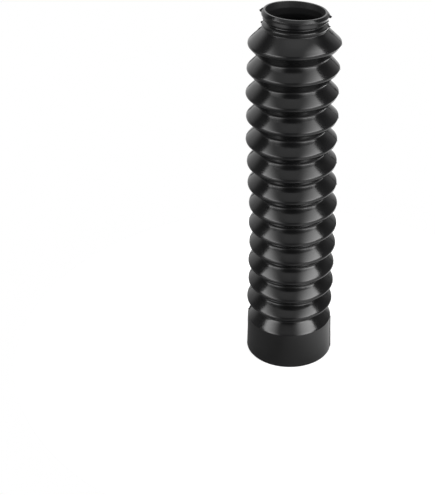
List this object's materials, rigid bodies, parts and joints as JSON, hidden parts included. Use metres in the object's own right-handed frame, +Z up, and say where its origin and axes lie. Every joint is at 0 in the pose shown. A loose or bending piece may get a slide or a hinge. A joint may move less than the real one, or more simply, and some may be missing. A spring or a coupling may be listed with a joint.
{
  "type": "fork gaiter",
  "caption": "Rubber bellows sleeve with a lipped neck and a plain cuff, that shields a motorbike fork leg from dirt and water.",
  "frame": {"origin": "middle of the cuff's flat end, the face that the gaiter stands on", "axes": "+Z up along the gaiter's own axis, from the cuff to the neck; it is a revolve, so X and Y are alike"},
  "size_m": [0.0612, 0.0612, 0.2558],
  "materials": {
    "rubber": "smooth moulded black rubber with a satin sheen"
  },
  "bodies": {
    "root": {"gaiter": "rubber"}
  },
  "joints": []
}
